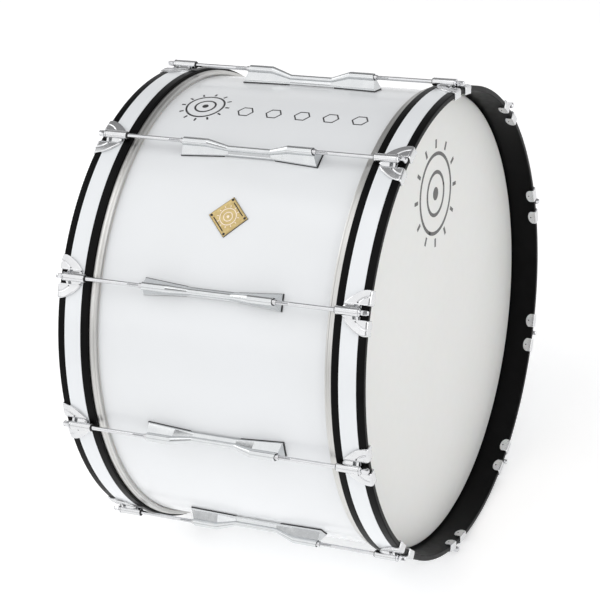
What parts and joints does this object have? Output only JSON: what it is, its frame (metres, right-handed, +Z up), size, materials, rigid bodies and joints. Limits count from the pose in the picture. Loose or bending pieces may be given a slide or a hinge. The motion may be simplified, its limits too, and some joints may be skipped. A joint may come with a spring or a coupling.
{
  "type": "bass drum",
  "caption": "Marching bass drum: cylindrical shell, two film heads, wooden counter-hoops with inlay, double-ended lugs, claws and tension rods that draw each hoop in.",
  "frame": {"origin": "on the floor, under the middle of the drum, which rests on its two counter-hoops", "axes": "+X along the drum's axis towards the right head, +Y across, +Z up"},
  "size_m": [0.435, 0.661, 0.636],
  "materials": {
    "shell_wrap": "gloss white plastic wrap on a laminated wood shell",
    "hoop_lacquer": "laminated wood hoop under gloss black lacquer, satin inside",
    "hoop_inlay": "gloss white inlay strip",
    "head_film": "smooth white polyester film, lightly frosted",
    "flesh_hoop": "bare aluminium channel",
    "lug_chrome": "chromed die casting",
    "claw_chrome": "chromed casting, a little softer than the lugs",
    "rod_chrome": "chromed steel rod",
    "badge_brass": "stamped brass plate"
  },
  "bodies": {
    "drum": {"shell": "shell_wrap", "badge": "badge_brass", "head_right": "head_film", "head_left": "head_film", "lug_01": "lug_chrome", "lug_02": "lug_chrome", "lug_03": "lug_chrome", "lug_04": "lug_chrome", "lug_05": "lug_chrome", "lug_06": "lug_chrome", "lug_07": "lug_chrome", "lug_08": "lug_chrome", "lug_09": "lug_chrome", "lug_10": "lug_chrome"},
    "hoop_right": {"hoop_right": "hoop_lacquer", "hoop_inlay_right": "hoop_inlay", "flesh_hoop_right": "flesh_hoop", "claw_right_01": "claw_chrome", "claw_right_02": "claw_chrome", "claw_right_03": "claw_chrome", "claw_right_04": "claw_chrome", "claw_right_05": "claw_chrome", "claw_right_06": "claw_chrome", "claw_right_07": "claw_chrome", "claw_right_08": "claw_chrome", "claw_right_09": "claw_chrome", "claw_right_10": "claw_chrome"},
    "hoop_left": {"hoop_left": "hoop_lacquer", "hoop_inlay_left": "hoop_inlay", "flesh_hoop_left": "flesh_hoop", "claw_left_01": "claw_chrome", "claw_left_02": "claw_chrome", "claw_left_03": "claw_chrome", "claw_left_04": "claw_chrome", "claw_left_05": "claw_chrome", "claw_left_06": "claw_chrome", "claw_left_07": "claw_chrome", "claw_left_08": "claw_chrome", "claw_left_09": "claw_chrome", "claw_left_10": "claw_chrome"},
    "rod_right_01": {"rod_right_01": "rod_chrome"},
    "rod_right_02": {"rod_right_02": "rod_chrome"},
    "rod_right_03": {"rod_right_03": "rod_chrome"},
    "rod_right_04": {"rod_right_04": "rod_chrome"},
    "rod_right_05": {"rod_right_05": "rod_chrome"},
    "rod_right_06": {"rod_right_06": "rod_chrome"},
    "rod_right_07": {"rod_right_07": "rod_chrome"},
    "rod_right_08": {"rod_right_08": "rod_chrome"},
    "rod_right_09": {"rod_right_09": "rod_chrome"},
    "rod_right_10": {"rod_right_10": "rod_chrome"},
    "rod_left_01": {"rod_left_01": "rod_chrome"},
    "rod_left_02": {"rod_left_02": "rod_chrome"},
    "rod_left_03": {"rod_left_03": "rod_chrome"},
    "rod_left_04": {"rod_left_04": "rod_chrome"},
    "rod_left_05": {"rod_left_05": "rod_chrome"},
    "rod_left_06": {"rod_left_06": "rod_chrome"},
    "rod_left_07": {"rod_left_07": "rod_chrome"},
    "rod_left_08": {"rod_left_08": "rod_chrome"},
    "rod_left_09": {"rod_left_09": "rod_chrome"},
    "rod_left_10": {"rod_left_10": "rod_chrome"}
  },
  "joints": [
    {"name": "hoop_right_slide", "type": "slide", "parent": "drum", "child": "hoop_right", "axis": [-1, 0, 0], "range_m": [-0.00159, 0.00317]},
    {"name": "rod_right_01_turn", "type": "hinge", "parent": "hoop_right", "child": "rod_right_01", "pos_m": [0.15, 0.10043, 0.62709], "axis": [-1, 0, 0], "range_deg": [-541, 1081]},
    {"name": "rod_right_02_turn", "type": "hinge", "parent": "hoop_right", "child": "rod_right_02", "pos_m": [0.15, -0.10043, 0.62709], "axis": [-1, 0, 0], "range_deg": [-541, 1081]},
    {"name": "rod_right_03_turn", "type": "hinge", "parent": "hoop_right", "child": "rod_right_03", "pos_m": [0.15, -0.26293, 0.50903], "axis": [-1, 0, 0], "range_deg": [-541, 1081]},
    {"name": "rod_right_04_turn", "type": "hinge", "parent": "hoop_right", "child": "rod_right_04", "pos_m": [0.15, -0.325, 0.318], "axis": [-1, 0, 0], "range_deg": [-541, 1081]},
    {"name": "rod_right_05_turn", "type": "hinge", "parent": "hoop_right", "child": "rod_right_05", "pos_m": [0.15, -0.26293, 0.12697], "axis": [-1, 0, 0], "range_deg": [-541, 1081]},
    {"name": "rod_right_06_turn", "type": "hinge", "parent": "hoop_right", "child": "rod_right_06", "pos_m": [0.15, -0.10043, 0.00891], "axis": [-1, 0, 0], "range_deg": [-541, 1081]},
    {"name": "rod_right_07_turn", "type": "hinge", "parent": "hoop_right", "child": "rod_right_07", "pos_m": [0.15, 0.10043, 0.00891], "axis": [-1, 0, 0], "range_deg": [-541, 1081]},
    {"name": "rod_right_08_turn", "type": "hinge", "parent": "hoop_right", "child": "rod_right_08", "pos_m": [0.15, 0.26293, 0.12697], "axis": [-1, 0, 0], "range_deg": [-541, 1081]},
    {"name": "rod_right_09_turn", "type": "hinge", "parent": "hoop_right", "child": "rod_right_09", "pos_m": [0.15, 0.325, 0.318], "axis": [-1, 0, 0], "range_deg": [-541, 1081]},
    {"name": "rod_right_10_turn", "type": "hinge", "parent": "hoop_right", "child": "rod_right_10", "pos_m": [0.15, 0.26293, 0.50903], "axis": [-1, 0, 0], "range_deg": [-541, 1081]},
    {"name": "hoop_left_slide", "type": "slide", "parent": "drum", "child": "hoop_left", "axis": [1, 0, 0], "range_m": [-0.00159, 0.00317]},
    {"name": "rod_left_01_turn", "type": "hinge", "parent": "hoop_left", "child": "rod_left_01", "pos_m": [-0.15, 0.10043, 0.62709], "axis": [1, 0, 0], "range_deg": [-541, 1081]},
    {"name": "rod_left_02_turn", "type": "hinge", "parent": "hoop_left", "child": "rod_left_02", "pos_m": [-0.15, -0.10043, 0.62709], "axis": [1, 0, 0], "range_deg": [-541, 1081]},
    {"name": "rod_left_03_turn", "type": "hinge", "parent": "hoop_left", "child": "rod_left_03", "pos_m": [-0.15, -0.26293, 0.50903], "axis": [1, 0, 0], "range_deg": [-541, 1081]},
    {"name": "rod_left_04_turn", "type": "hinge", "parent": "hoop_left", "child": "rod_left_04", "pos_m": [-0.15, -0.325, 0.318], "axis": [1, 0, 0], "range_deg": [-541, 1081]},
    {"name": "rod_left_05_turn", "type": "hinge", "parent": "hoop_left", "child": "rod_left_05", "pos_m": [-0.15, -0.26293, 0.12697], "axis": [1, 0, 0], "range_deg": [-541, 1081]},
    {"name": "rod_left_06_turn", "type": "hinge", "parent": "hoop_left", "child": "rod_left_06", "pos_m": [-0.15, -0.10043, 0.00891], "axis": [1, 0, 0], "range_deg": [-541, 1081]},
    {"name": "rod_left_07_turn", "type": "hinge", "parent": "hoop_left", "child": "rod_left_07", "pos_m": [-0.15, 0.10043, 0.00891], "axis": [1, 0, 0], "range_deg": [-541, 1081]},
    {"name": "rod_left_08_turn", "type": "hinge", "parent": "hoop_left", "child": "rod_left_08", "pos_m": [-0.15, 0.26293, 0.12697], "axis": [1, 0, 0], "range_deg": [-541, 1081]},
    {"name": "rod_left_09_turn", "type": "hinge", "parent": "hoop_left", "child": "rod_left_09", "pos_m": [-0.15, 0.325, 0.318], "axis": [1, 0, 0], "range_deg": [-541, 1081]},
    {"name": "rod_left_10_turn", "type": "hinge", "parent": "hoop_left", "child": "rod_left_10", "pos_m": [-0.15, 0.26293, 0.50903], "axis": [1, 0, 0], "range_deg": [-541, 1081]}
  ],
  "couplings": [
    {"joint": "rod_right_01_turn", "follows": "hoop_right_slide", "rad_per_m": 5936.9},
    {"joint": "rod_right_02_turn", "follows": "hoop_right_slide", "rad_per_m": 5936.9},
    {"joint": "rod_right_03_turn", "follows": "hoop_right_slide", "rad_per_m": 5936.9},
    {"joint": "rod_right_04_turn", "follows": "hoop_right_slide", "rad_per_m": 5936.9},
    {"joint": "rod_right_05_turn", "follows": "hoop_right_slide", "rad_per_m": 5936.9},
    {"joint": "rod_right_06_turn", "follows": "hoop_right_slide", "rad_per_m": 5936.9},
    {"joint": "rod_right_07_turn", "follows": "hoop_right_slide", "rad_per_m": 5936.9},
    {"joint": "rod_right_08_turn", "follows": "hoop_right_slide", "rad_per_m": 5936.9},
    {"joint": "rod_right_09_turn", "follows": "hoop_right_slide", "rad_per_m": 5936.9},
    {"joint": "rod_right_10_turn", "follows": "hoop_right_slide", "rad_per_m": 5936.9},
    {"joint": "rod_left_01_turn", "follows": "hoop_left_slide", "rad_per_m": 5936.9},
    {"joint": "rod_left_02_turn", "follows": "hoop_left_slide", "rad_per_m": 5936.9},
    {"joint": "rod_left_03_turn", "follows": "hoop_left_slide", "rad_per_m": 5936.9},
    {"joint": "rod_left_04_turn", "follows": "hoop_left_slide", "rad_per_m": 5936.9},
    {"joint": "rod_left_05_turn", "follows": "hoop_left_slide", "rad_per_m": 5936.9},
    {"joint": "rod_left_06_turn", "follows": "hoop_left_slide", "rad_per_m": 5936.9},
    {"joint": "rod_left_07_turn", "follows": "hoop_left_slide", "rad_per_m": 5936.9},
    {"joint": "rod_left_08_turn", "follows": "hoop_left_slide", "rad_per_m": 5936.9},
    {"joint": "rod_left_09_turn", "follows": "hoop_left_slide", "rad_per_m": 5936.9},
    {"joint": "rod_left_10_turn", "follows": "hoop_left_slide", "rad_per_m": 5936.9}
  ]
}
